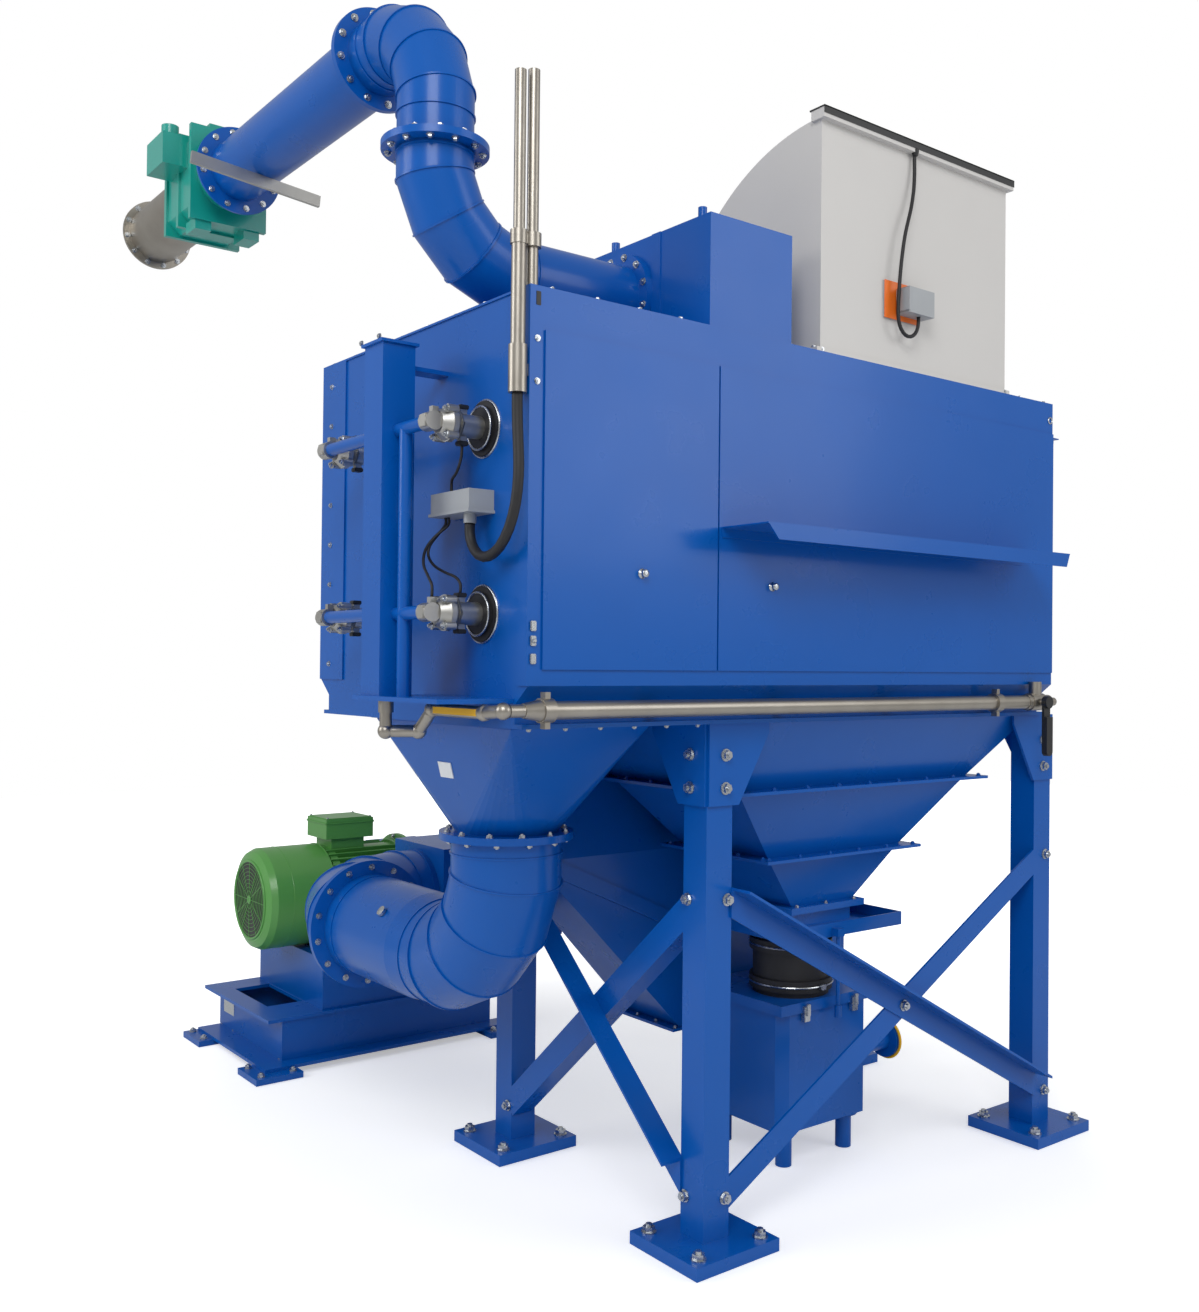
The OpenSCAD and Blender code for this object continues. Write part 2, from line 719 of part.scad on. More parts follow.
module plenum_transition() {
  w = 484;
  dp = 780;
  color(blue) {
    block([out_x - w / 2 - 14, out_y - dp / 2 - 14, tr_z1 - 8], [out_x + w / 2 + 14, out_y + dp / 2 + 14, tr_z1]);
    hull() {
      translate([out_x - w / 2, out_y - dp / 2, tr_z1 - 12]) cube([w, dp, 5]);
      translate([out_x, out_y, tr_z0 + 10]) cylinder(d = out_d, h = 3, $fn = 32);
    }
    translate([out_x, out_y, tr_z0]) cylinder(d = out_flange_d, h = dflange_t + 2);
  }
}

module outlet_elbow() {
  y0 = out_y + out_r - e;
  color(blue) {
    translate([out_x, out_y, tr_z0 - dflange_t]) cylinder(d = out_flange_d, h = dflange_t);
    translate([out_x, out_y, out_z + out_r - e])
      cylinder(d = elbow_d - 1, h = tr_z0 - dflange_t - out_z - out_r + 2 * e);
    translate([out_x, out_y + out_r, out_z + out_r]) rotate([-90, 0, -90])
      mitred(out_r, elbow_d, 4);
    translate([out_x, y0, out_z]) rotate([-90, 0, 0]) cylinder(d1 = elbow_d - 1, d2 = big_d, h = 80);
    translate([out_x, y0 + 79, out_z]) rotate([-90, 0, 0]) cylinder(d = big_d, h = ring_y - y0 - 79 + e);
    translate([out_x, ring_y - 60, out_z]) rotate([-90, 0, 0]) cylinder(d = big_d + 7, h = seam_w);
    translate([out_x, ring_y, out_z]) rotate([-90, 0, 0]) cylinder(d = big_flange_d, h = dflange_t);
  }
}

module fan_inlet_elbow() {
  y0 = ring_y + dflange_t;
  color(blue) {
    translate([out_x, y0, out_z]) rotate([-90, 0, 0]) cylinder(d = big_flange_d, h = dflange_t);
    translate([out_x + fan_r, y0 + dflange_t, out_z]) rotate([0, 0, 90]) mitred(fan_r, big_d, 4);
    translate([out_x + fan_r - e, fan_duct_y, out_z]) rotate([0, 90, 0])
      cylinder(d = big_d - 1, h = 60 - out_x - fan_r + e);
  }
}

module fan_motor() {
  color(green) translate([cowl_x0, motor_y, motor_z]) {
    rotate([0, 90, 0]) {
      cylinder(d1 = cowl_d - 80, d2 = cowl_d - 26, h = 14);
      translate([0, 0, 14 - e]) cylinder(d1 = cowl_d - 26, d2 = cowl_d, h = 26);
      translate([0, 0, 40 - 2 * e]) cylinder(d = cowl_d, h = 270);
      translate([0, 0, 309]) cylinder(d = cowl_d - 44, h = body_x1 - cowl_x0 - 329);
      translate([0, 0, 322]) cylinder(d = cowl_d - 20, h = 34);
      translate([0, 0, body_x1 - cowl_x0 - 60]) cylinder(d = cowl_d - 20, h = 41);
      translate([0, 0, body_x1 - cowl_x0 - 20]) cylinder(d = cowl_d + 30, h = 20);
    }
    // two foot rails, then the neck and the terminal box
    for (s = [-1, 1]) translate([360, s * 150 - 45, foot_z - motor_z]) cube([260, 90, cowl_d / 4]);
    translate([345, -78, cowl_d / 3]) cube([160, 156, cowl_d / 6 + 32]);
    translate([310, -100, cowl_d / 2 + 28]) cube([230, 200, 88]);
  }
}

module fan_housing() {
  x0 = body_x1;
  x1 = skid_x0 + skid_l - 30;
  wide = big_d / 2 + 25;
  color(blue) {
    block([x0, skid_y0 + 10, skid_z1], [x1, skid_y0 + skid_w - 10, motor_z + 165]);
    block([60, fan_duct_y - wide, out_z - wide], [640, fan_duct_y + wide, out_z + wide]);
    block([x0 + 40, fan_duct_y + wide - e, min(out_z - wide, motor_z - 103)],
      [640, skid_y0 + 10 + e, max(out_z + 20, motor_z + 120)]);
  }
}

module fan_skid() {
  x1 = skid_x0 + skid_l;
  y1 = skid_y0 + skid_w;
  px = -150;
  color(blue) {
    for (x = [skid_x0 - 165, x1 - 80]) for (y = [skid_y0 - 140, y1 - 190])
      block([x, y, 0], [x + 200, y + 200, pad_t]);
    difference() {
      block([skid_x0 - 105, skid_y0 - 80, pad_t - e], [x1, y1 - 10, pad_t + skid_t]);
      block([skid_x0 + 60, skid_y0 + 60, 0], [x1 - 60, y1 - 60, 100]);
    }
    difference() {
      block([skid_x0, skid_y0, pad_t + skid_t - e], [x1, y1, skid_z1 - skid_t + e]);
      block([skid_x0 + 10, skid_y0 + 10, 0], [x1 - 10, y1 - 10, skid_z1 + 10]);
    }
    difference() {
      block([skid_x0 - 65, skid_y0 - 12, skid_z1 - skid_t], [x1 + 20, y1 + 20, skid_z1]);
      block([skid_x0 + 20, skid_y0 + 205, 100], [px - 4, y1 - 125, 300]);
    }
    difference() {
      block([px, skid_y0 + 10, skid_z1 - e], [body_x1 - 90, y1 - 10, foot_z]);
      block([px + 10, skid_y0 + 20, skid_z1], [body_x1 - 100, y1 - 20, foot_z - 10]);
      block([px + 60, skid_y0 + 220, skid_z1 + 50], [body_x1 - 150, y1 - 240, foot_z + 10]);
    }
  }
}

// levels of the hopper: height, half length along X, half depth along Y
hop_half_x = hop_x + h - 0.5;
hop_half_y = hop_y + h - 0.5;
levels = [[flange_z, hop_half_x, hop_half_y],
  [flange_z - 0.347 * hopper_h, hop_half_x * 0.704, hop_half_y * 0.733],
  [flange_z - 0.72 * hopper_h, hop_half_x * 0.403, hop_half_y * 0.481], [hop_z0, outlet / 2, outlet / 2]];

module tier(a, b) {
  pts = [for (l = [b, a]) for (k = [[-1, -1], [1, -1], [1, 1], [-1, 1]])
    [k[0] * l[1], k[1] * l[2], l[0]]];
  polyhedron(pts, [[0, 1, 2, 3], [7, 6, 5, 4], [4, 5, 1, 0], [5, 6, 2, 1], [6, 7, 3, 2], [7, 4, 0, 3]]);
}

module hopper() {
  color(blue) difference() {
    translate([hop_x, hop_y, 0]) {
      for (i = [0:2]) tier(levels[i], levels[i + 1]);
      for (i = [1:2]) translate([-levels[i][1] - shelf, -levels[i][2] - shelf, levels[i][0] - 5])
        cube([2 * (levels[i][1] + shelf), 2 * (levels[i][2] + shelf), 10]);
      translate([-outlet / 2 - 30, -outlet / 2 - 30, hop_z0 - 10])
        cube([outlet + 60, outlet + 60, 10 + e]);
    }
    block([-h - 10, -h - 10, hop_z0], [h + 0.5, h + 0.5, flange_z + 10]);
  }
}

module slide_gate() {
  w = outlet / 2 + 17;
  x1 = outlet / 2 + 248;
  color(blue) translate([hop_x, hop_y, 0]) {
    block([-outlet / 2 - 30, -outlet / 2 - 30, hop_z0 - 22], [outlet / 2 + 30, outlet / 2 + 30, hop_z0 - 10]);
    block([-outlet / 2 + 5, -outlet / 2 + 5, gate_z + 40], [outlet / 2 - 5, outlet / 2 - 5, hop_z0 - 22 + e]);
    block([-w - 13, -w, gate_z], [w + 13, w, gate_z + 47]);
    difference() {
      block([w, -w, gate_z], [x1, w, gate_z + 47]);
      block([w + 13 - e, -w + 5, gate_z + 8], [x1 - 5, w - 5, gate_z + 60]);
    }
    block([30, -w - 30, gate_z + 4], [62, -w + e, gate_z + 30]);
    translate([46, -w - 16, gate_z - 264]) cylinder(d = 14, h = 270);
    translate([46, -w - 16, gate_z - 274]) cylinder(d = 24, h = 40);
  }
}

module bin_connector() {
  z0 = bin_z1 + bin_lid;
  color(black) translate([hop_x, hop_y, 0]) {
    translate([0, 0, z0]) cylinder(d = outlet - 34, h = gate_z - z0);
    for (z = [z0 + 18, gate_z - 60]) translate([0, 0, z]) cylinder(d = outlet - 10, h = 40);
  }
}

module dust_bin() {
  w = outlet / 2 + 70;
  dp = outlet / 2 + 60;
  c = 34;
  color(blue) translate([bin_x, bin_y, 0]) {
    translate([0, 0, bin_foot]) linear_extrude(bin_h) polygon([[-w, -dp + c], [-w + c, -dp],
      [w - c, -dp], [w, -dp + c], [w, dp - c], [w - c, dp], [-w + c, dp], [-w, dp - c]]);
    block([-w - 15, -dp - 10, bin_z1 - e], [w + 15, dp + 15, bin_z1 + bin_lid]);
    for (x = [-w + 70, w - 70]) for (y = [-dp + 60, dp - 60]) {
      translate([x, y, 0]) cylinder(d = 56, h = bin_foot + e);
      translate([x, y, bin_foot - 12]) cylinder(d = 96, h = 12 + e);
    }
    translate([w - e, -dp + 62, 344]) rotate([0, 90, 0]) cylinder(d = 76, h = 142);
    translate([w + 140, -dp + 62, 344]) rotate([0, 90, 0]) cylinder(d = 136, h = 20);
  }
}

// a tier between two levels: height, then the X and Y limits
module tier_box(a, b) {
  pts = [for (l = [b, a]) each [[l[1], l[3], l[0]], [l[2], l[3], l[0]], [l[2], l[4], l[0]],
    [l[1], l[4], l[0]]]];
  polyhedron(pts, [[0, 1, 2, 3], [7, 6, 5, 4], [4, 5, 1, 0], [5, 6, 2, 1], [6, 7, 3, 2], [7, 4, 0, 3]]);
}

module rear_chute() {
  x0 = -h + 0.5;
  x1 = leg_dx - h - 27;
  y0 = leg_dy - 310;
  y1 = leg_dy - h - 5;
  lv = [[flange_z, x0, x1, y0 + 132, y1], [1050, x0, x1, y0, y1], [955, x0, x1, y0, y1],
    [840, x0 + 116, x1 - 115, y0, y1], [400, hop_x - 242, hop_x + 242, y0, y1 + 60]];
  color(blue) {
    for (i = [0:3]) tier_box(lv[i], lv[i + 1]);
    block([hop_x - 282, y0 - 12, 390], [hop_x + 282, y1 + 90, 400 + e]);
    translate([0, y0 + e, 0]) rotate([90, 0, 0]) linear_extrude(8)
      polygon([[x0 + 5, 1048], [x0 + 5, 988], [445, 770], [445, 826]]);
  }
}

leg_front_left();
leg_front_right();
leg_back_left();
leg_back_right();
gusset_plates();
cross_braces();
cabinet_flange();
filter_cabinet();
plenum_cabinet();
roof_panel();
front_panels();
rain_ledge();
air_header();
header_fittings();
pulse_valves();
valve_seals();
junction_box();
conduits();
power_cable();
valve_leads();
air_supply_pipe();
air_supply_drop();
ball_valve();
valve_lever();
roof_inlet_box();
inlet_elbow();
upper_elbow();
straight_duct();
isolation_valve();
valve_bar();
duct_spool();
vent_hood();
hood_sensor();
sensor_cable();
plenum_transition();
outlet_elbow();
fan_inlet_elbow();
fan_motor();
fan_housing();
fan_skid();
hopper();
slide_gate();
bin_connector();
dust_bin();
rear_chute();
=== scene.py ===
# Dust collector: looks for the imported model, in metres
import bpy
import bmesh
import math
from mathutils import Matrix, Vector


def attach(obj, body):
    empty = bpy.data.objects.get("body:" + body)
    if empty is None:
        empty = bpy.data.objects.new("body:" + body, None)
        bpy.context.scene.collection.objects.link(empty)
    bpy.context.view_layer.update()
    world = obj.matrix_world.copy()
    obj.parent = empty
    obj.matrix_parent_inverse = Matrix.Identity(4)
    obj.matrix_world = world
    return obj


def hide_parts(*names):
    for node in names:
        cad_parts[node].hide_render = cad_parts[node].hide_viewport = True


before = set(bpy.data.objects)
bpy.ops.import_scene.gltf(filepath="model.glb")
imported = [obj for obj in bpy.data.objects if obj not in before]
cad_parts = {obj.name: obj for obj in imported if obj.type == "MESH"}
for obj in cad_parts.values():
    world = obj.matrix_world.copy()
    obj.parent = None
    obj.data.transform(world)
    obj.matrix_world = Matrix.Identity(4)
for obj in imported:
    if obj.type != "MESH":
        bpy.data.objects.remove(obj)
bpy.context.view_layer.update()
print("loaded", len(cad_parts), "nodes")

root = "collector"


# colour and node helpers
def srgb(code, alpha=1.0):
    out = []
    for k in (1, 3, 5):
        c = int(code[k:k + 2], 16) / 255
        out.append(c / 12.92 if c <= 0.04045 else ((c + 0.055) / 1.055) ** 2.4)
    return (*out, alpha)


def addNode(tree, kind, settings=None, links=None):
    node = tree.nodes.new(kind)
    for key, value in (settings or {}).items():
        if isinstance(key, str) and hasattr(node, key):
            setattr(node, key, value)
        else:
            node.inputs[key].default_value = value
    for key, source in (links or {}).items():
        tree.links.new(source, node.inputs[key])
    return node


def newMaterial(name):
    mat = bpy.data.materials.new(name)
    mat.use_nodes = True
    tree = mat.node_tree
    tree.nodes.clear()
    out = addNode(tree, "ShaderNodeOutputMaterial")
    shader = addNode(tree, "ShaderNodeBsdfPrincipled")
    tree.links.new(shader.outputs[0], out.inputs["Surface"])
    return mat, tree, shader


def objectCoords(tree):
    return addNode(tree, "ShaderNodeTexCoord").outputs["Object"]


# sprayed enamel: even colour, soft orange peel, thin clear gloss
def paint(name, colour, shade, rough=0.32, coat=0.35, peel=0.05, sheen=0.5):
    mat, tree, shader = newMaterial(name)
    coords = objectCoords(tree)
    cloud = addNode(tree, "ShaderNodeTexNoise", {"Scale": 1.7, "Detail": 3.0, "Roughness": 0.55}, {"Vector": coords})
    blend = addNode(tree, "ShaderNodeMix", {"data_type": "RGBA", 6: srgb(colour), 7: srgb(shade)}, {0: cloud.outputs[0]})
    tree.links.new(blend.outputs[2], shader.inputs["Base Color"])
    # peel cells about 4 mm across
    grain = addNode(tree, "ShaderNodeTexNoise", {"Scale": 250.0, "Detail": 1.0}, {"Vector": coords})
    bump = addNode(tree, "ShaderNodeBump", {"Strength": peel, "Distance": 0.0006}, {"Height": grain.outputs[0]})
    tree.links.new(bump.outputs[0], shader.inputs["Normal"])
    smear = addNode(tree, "ShaderNodeTexNoise", {"Scale": 6.0, "Detail": 4.0}, {"Vector": coords})
    roughMap = addNode(tree, "ShaderNodeMapRange", {"To Min": rough - 0.06, "To Max": rough + 0.08}, {"Value": smear.outputs[0]})
    tree.links.new(roughMap.outputs[0], shader.inputs["Roughness"])
    shader.inputs["IOR"].default_value = 1.5
    shader.inputs["Specular IOR Level"].default_value = sheen
    shader.inputs["Coat Weight"].default_value = coat
    shader.inputs["Coat Roughness"].default_value = 0.12
    return mat


# drawn or brushed metal: streaks along one axis
def metal(name, colour, dark, rough=0.3, stretch=(1.0, 1.0, 0.05), scale=400.0):
    mat, tree, shader = newMaterial(name)
    coords = objectCoords(tree)
    turn = addNode(tree, "ShaderNodeMapping", {"Scale": stretch}, {"Vector": coords})
    streak = addNode(tree, "ShaderNodeTexNoise", {"Scale": scale, "Detail": 2.0}, {"Vector": turn.outputs[0]})
    cloud = addNode(tree, "ShaderNodeTexNoise", {"Scale": 9.0, "Detail": 4.0}, {"Vector": coords})
    blend = addNode(tree, "ShaderNodeMix", {"data_type": "RGBA", 6: srgb(colour), 7: srgb(dark)}, {0: cloud.outputs[0]})
    tree.links.new(blend.outputs[2], shader.inputs["Base Color"])
    roughMap = addNode(tree, "ShaderNodeMapRange", {"To Min": rough - 0.1, "To Max": rough + 0.12}, {"Value": streak.outputs[0]})
    tree.links.new(roughMap.outputs[0], shader.inputs["Roughness"])
    bump = addNode(tree, "ShaderNodeBump", {"Strength": 0.12, "Distance": 0.0003}, {"Height": streak.outputs[0]})
    tree.links.new(bump.outputs[0], shader.inputs["Normal"])
    shader.inputs["Metallic"].default_value = 1.0
    return mat


# moulded rubber and plastic
def moulded(name, colour, worn, rough=0.5, grainScale=500.0):
    mat, tree, shader = newMaterial(name)
    coords = objectCoords(tree)
    cloud = addNode(tree, "ShaderNodeTexNoise", {"Scale": 14.0, "Detail": 5.0}, {"Vector": coords})
    blend = addNode(tree, "ShaderNodeMix", {"data_type": "RGBA", 6: srgb(colour), 7: srgb(worn)}, {0: cloud.outputs[0]})
    tree.links.new(blend.outputs[2], shader.inputs["Base Color"])
    grain = addNode(tree, "ShaderNodeTexNoise", {"Scale": grainScale, "Detail": 2.0}, {"Vector": coords})
    bump = addNode(tree, "ShaderNodeBump", {"Strength": 0.15, "Distance": 0.0004}, {"Height": grain.outputs[0]})
    tree.links.new(bump.outputs[0], shader.inputs["Normal"])
    shader.inputs["Roughness"].default_value = rough
    shader.inputs["IOR"].default_value = 1.48
    return mat


finishes = {
    "blueEnamel": paint("blueEnamel", "#005AB4", "#0052A6", rough=0.28, coat=0.12, sheen=0.3),
    "greenEnamel": paint("greenEnamel", "#5AA04C", "#529646", rough=0.34, coat=0.2),
    "tealEnamel": paint("tealEnamel", "#0FA092", "#0B9487"),
    "greyPowderCoat": paint("greyPowderCoat", "#CFCDCA", "#C8C6C4", rough=0.45, coat=0.05, sheen=0.35),
    "orangePlastic": moulded("orangePlastic", "#F0741C", "#E46A14", rough=0.4),
    "stainlessSteel": metal("stainlessSteel", "#B0ABA2", "#979188", rough=0.36),
    "castAluminium": metal("castAluminium", "#BDBCB8", "#A7A6A2", rough=0.42, stretch=(1, 1, 1), scale=260.0),
    "zincPlate": metal("zincPlate", "#C8CBCE", "#B4B8BC", rough=0.26, stretch=(1, 1, 1), scale=300.0),
    "blackRubber": moulded("blackRubber", "#17171A", "#202023", rough=0.55),
    "blackPlastic": moulded("blackPlastic", "#1B1C1E", "#242527", rough=0.42),
    "greyPlastic": moulded("greyPlastic", "#A3A7AB", "#999DA1", rough=0.4),
    "yellowLabel": moulded("yellowLabel", "#F2B90F", "#EAB008", rough=0.4),
    "whiteLabel": moulded("whiteLabel", "#E9ECEE", "#DFE3E6", rough=0.4),
}

nodeFinish = {
    "pulse_valves": "castAluminium", "valve_seals": "blackRubber", "junction_box": "greyPlastic",
    "conduits": "stainlessSteel", "power_cable": "blackRubber", "valve_leads": "blackRubber",
    "air_supply_pipe": "stainlessSteel", "air_supply_drop": "stainlessSteel", "ball_valve": "stainlessSteel",
    "valve_lever": "blackPlastic", "isolation_valve": "tealEnamel", "valve_bar": "castAluminium",
    "duct_spool": "stainlessSteel", "vent_hood": "greyPowderCoat", "hood_sensor": "greyPlastic",
    "sensor_cable": "blackRubber", "fan_motor": "greenEnamel", "bin_connector": "blackRubber",
}
for name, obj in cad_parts.items():
    mat = finishes[nodeFinish.get(name, "blueEnamel")]
    obj.data.materials.clear()
    obj.data.materials.append(mat)
print("finishes set")

# camera fitted to the photograph
camSet = {"at": (-2.5137, -2.7958, 1.7073), "yaw": 38.164, "pitch": 0.658, "roll": 0.5676,
          "lens": 34.90, "shift": (-0.0196, -0.0047)}
yaw, pitch, roll = (math.radians(camSet[k]) for k in ("yaw", "pitch", "roll"))
forward = Vector((math.sin(yaw) * math.cos(pitch), math.cos(yaw) * math.cos(pitch), math.sin(pitch)))
right = Vector((math.cos(yaw), -math.sin(yaw), 0))
up = right.cross(forward)
right2 = right * math.cos(roll) + up * math.sin(roll)
up2 = up * math.cos(roll) - right * math.sin(roll)
camData = bpy.data.cameras.new("camera")
camData.sensor_width = 36
camData.lens = camSet["lens"]
camData.shift_x, camData.shift_y = camSet["shift"]
camData.clip_end = 60
cam = bpy.data.objects.new("camera", camData)
cam.matrix_world = Matrix((
    (right2.x, up2.x, -forward.x, camSet["at"][0]),
    (right2.y, up2.y, -forward.y, camSet["at"][1]),
    (right2.z, up2.z, -forward.z, camSet["at"][2]),
    (0, 0, 0, 1)))
bpy.context.scene.collection.objects.link(cam)
bpy.context.scene.camera = cam

# pale floor that goes on into a pale world
def stageFloor():
    mesh = bpy.data.meshes.new("floor")
    s = 14.0
    mesh.from_pydata([(-s, -s, -0.001), (s, -s, -0.001), (s, s, -0.001), (-s, s, -0.001)], [], [(0, 1, 2, 3)])
    obj = bpy.data.objects.new("floor", mesh)
    bpy.context.scene.collection.objects.link(obj)
    mat, tree, shader = newMaterial("paleFloor")
    shader.inputs["Base Color"].default_value = srgb("#F4F5F6")
    shader.inputs["Roughness"].default_value = 0.9
    # to the camera the floor is lit up, wholly so from about 4 m out
    reach = addNode(tree, "ShaderNodeVectorMath", {"operation": "DISTANCE", 1: (0.3, 0.8, 0.0)}, {0: objectCoords(tree)})
    fade = addNode(tree, "ShaderNodeMapRange", {"From Min": 1.6, "From Max": 4.2, "To Min": 0.42, "To Max": 1.0}, {"Value": reach.outputs["Value"]})
    seenBy = addNode(tree, "ShaderNodeLightPath")
    power = addNode(tree, "ShaderNodeMath", {"operation": "MULTIPLY"}, {0: fade.outputs[0], 1: seenBy.outputs["Is Camera Ray"]})
    shader.inputs["Emission Color"].default_value = (1, 1, 1, 1)
    tree.links.new(power.outputs[0], shader.inputs["Emission Strength"])
    mesh.materials.append(mat)


stageFloor()
world = bpy.data.worlds.new("paleRoom")
bpy.context.scene.world = world
world.use_nodes = True
wt = world.node_tree
wt.nodes.clear()
path = addNode(wt, "ShaderNodeLightPath")
seen = addNode(wt, "ShaderNodeMath", {"operation": "MAXIMUM"}, {0: path.outputs["Is Camera Ray"], 1: path.outputs["Is Transmission Ray"]})
strength = addNode(wt, "ShaderNodeMapRange", {"To Min": 0.46, "To Max": 1.0}, {"Value": seen.outputs[0]})
back = addNode(wt, "ShaderNodeBackground", {"Color": (1, 1, 1, 1)}, {"Strength": strength.outputs[0]})
wOut = addNode(wt, "ShaderNodeOutputWorld", None, {"Surface": back.outputs[0]})

lampSet = {"key": ((-4.5, -4.5, 6.5), 260, 3.5), "side": ((-6.0, 3.0, 4.0), 110, 3.0), "front": ((4.5, -6.0, 4.5), 120, 4.0)}
for name, (at, power, size) in lampSet.items():
    lamp = bpy.data.lights.new(name, "AREA")
    lamp.energy, lamp.size = power, size
    obj = bpy.data.objects.new(name, lamp)
    obj.location = at
    obj.rotation_euler = (Vector((0.4, 0.6, 1.5)) - Vector(at)).to_track_quat("-Z", "Y").to_euler()
    bpy.context.scene.collection.objects.link(obj)
bpy.context.scene.view_settings.view_transform = "Standard"
print("camera and lights set")


# cords swept as round tubes along given routes, routes as in the part's source, in mm
def tube(name, points, thick, sides, finish, ref):
    pts = [Vector(p) / 1000 for p in points]
    radius = thick / 1000
    bm = bmesh.new()
    rings = []
    for i, p in enumerate(pts):
        t = (pts[min(i + 1, len(pts) - 1)] - pts[max(i - 1, 0)]).normalized()
        a = t.cross(Vector(ref)).normalized()
        b = a.cross(t)
        rings.append([bm.verts.new(p + radius * (math.cos(k * math.tau / sides) * a + math.sin(k * math.tau / sides) * b))
                      for k in range(sides)])
    for r0, r1 in zip(rings, rings[1:]):
        for k in range(sides):
            bm.faces.new((r0[k], r0[(k + 1) % sides], r1[(k + 1) % sides], r1[k]))
    bm.faces.new(list(reversed(rings[0])))
    bm.faces.new(rings[-1])
    obj = fromBmesh(bm, name, finish, smooth=True)
    return obj


# mesh helpers: every piece ends as plain mesh in the row frame
def fromBmesh(bm, name, finish, smooth=False, body=root):
    bmesh.ops.recalc_face_normals(bm, faces=bm.faces)
    mesh = bpy.data.meshes.new(name)
    bm.to_mesh(mesh)
    bm.free()
    if smooth:
        for f in mesh.polygons:
            f.use_smooth = len(f.vertices) == 4
    mesh.materials.append(finishes[finish])
    obj = bpy.data.objects.new(name, mesh)
    bpy.context.scene.collection.objects.link(obj)
    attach(obj, body)
    return obj


def addBlock(bm, low, high, bevel=0.0):
    size = [(b - a) / 1000 for a, b in zip(low, high)]
    mid = [(a + b) / 2000 for a, b in zip(low, high)]
    made = bmesh.ops.create_cube(bm, size=1.0, matrix=Matrix.Translation(mid) @ Matrix.Diagonal((*size, 1)))
    if bevel:
        edges = {e for v in made["verts"] for e in v.link_edges}
        bmesh.ops.bevel(bm, geom=list(edges), offset=bevel / 1000, segments=2, affect="EDGES")


def aimed(at, aim):
    turn = Vector(aim).normalized().to_track_quat("Z", "Y").to_matrix().to_4x4()
    return Matrix.Translation(Vector(at) / 1000) @ turn


# a turned form: profile of (radius, height) in mm, spun about the aim
def addTurned(bm, at, aim, profile, sides=32):
    place = aimed(at, aim)
    rings = []
    for r, z in profile:
        rings.append([bm.verts.new(place @ Vector((r / 1000 * math.cos(k * math.tau / sides),
                                                   r / 1000 * math.sin(k * math.tau / sides), z / 1000)))
                      for k in range(sides)])
    for r0, r1 in zip(rings, rings[1:]):
        for k in range(sides):
            bm.faces.new((r0[k], r0[(k + 1) % sides], r1[(k + 1) % sides], r1[k]))
    bm.faces.new(list(reversed(rings[0])))
    bm.faces.new(rings[-1])


def addRing(bm, at, aim, radius, wire, around=48, sides=8):
    place = aimed(at, aim)
    rings = []
    for i in range(around):
        w = i * math.tau / around
        rings.append([bm.verts.new(place @ Vector(((radius + wire * math.cos(k * math.tau / sides)) / 1000 * math.cos(w),
                                                   (radius + wire * math.cos(k * math.tau / sides)) / 1000 * math.sin(w),
                                                   wire * math.sin(k * math.tau / sides) / 1000))) for k in range(sides)])
    for i in range(around):
        r0, r1 = rings[i], rings[(i + 1) % around]
        for k in range(sides):
            bm.faces.new((r0[k], r0[(k + 1) % sides], r1[(k + 1) % sides], r1[k]))


# node tree: a form set on every vertex of a mesh, its Z along the vertex's aim
def patternTree(name, sizes, build):
    tree = bpy.data.node_groups.new(name, "GeometryNodeTree")
    tree.interface.new_socket("Geometry", in_out="INPUT", socket_type="NodeSocketGeometry")
    for label, value in sizes.items():
        sock = tree.interface.new_socket(label, in_out="INPUT", socket_type="NodeSocketFloat")
        sock.default_value = value
    seed = tree.interface.new_socket("Seed", in_out="INPUT", socket_type="NodeSocketInt")
    seed.default_value = 7
    turn = tree.interface.new_socket("Random turn", in_out="INPUT", socket_type="NodeSocketFloat")
    turn.default_value = 0.0
    finish = tree.interface.new_socket("Finish", in_out="INPUT", socket_type="NodeSocketMaterial")
    tree.interface.new_socket("Geometry", in_out="OUTPUT", socket_type="NodeSocketGeometry")
    inputs = addNode(tree, "NodeGroupInput")
    form = build(tree, inputs)
    aim = addNode(tree, "GeometryNodeInputNamedAttribute", {"data_type": "FLOAT_VECTOR"})
    aim.inputs["Name"].default_value = "aim"
    face = addNode(tree, "FunctionNodeAlignRotationToVector", {"axis": "Z"}, {"Vector": aim.outputs["Attribute"]})
    spread = addNode(tree, "FunctionNodeRandomValue", {"data_type": "FLOAT"}, {"Seed": inputs.outputs["Seed"], 3: inputs.outputs["Random turn"]})
    spin = addNode(tree, "FunctionNodeAxisAngleToRotation", {"Axis": (0, 0, 1)}, {"Angle": spread.outputs[1]})
    both = addNode(tree, "FunctionNodeRotateRotation", {"rotation_space": "LOCAL"}, {"Rotation": face.outputs[0], "Rotate By": spin.outputs[0]})
    points = addNode(tree, "GeometryNodeMeshToPoints", None, {"Mesh": inputs.outputs["Geometry"]})
    copies = addNode(tree, "GeometryNodeInstanceOnPoints", None,
                     {"Points": points.outputs[0], "Instance": form, "Rotation": both.outputs[0]})
    real = addNode(tree, "GeometryNodeRealizeInstances", None, {"Geometry": copies.outputs[0]})
    dressed = addNode(tree, "GeometryNodeSetMaterial", None, {"Geometry": real.outputs[0], "Material": inputs.outputs["Finish"]})
    tree.links.new(dressed.outputs[0], addNode(tree, "NodeGroupOutput").inputs[0])
    return tree


def scaled(tree, source, factor):
    return addNode(tree, "ShaderNodeMath", {"operation": "MULTIPLY", 1: factor}, {0: source}).outputs[0]


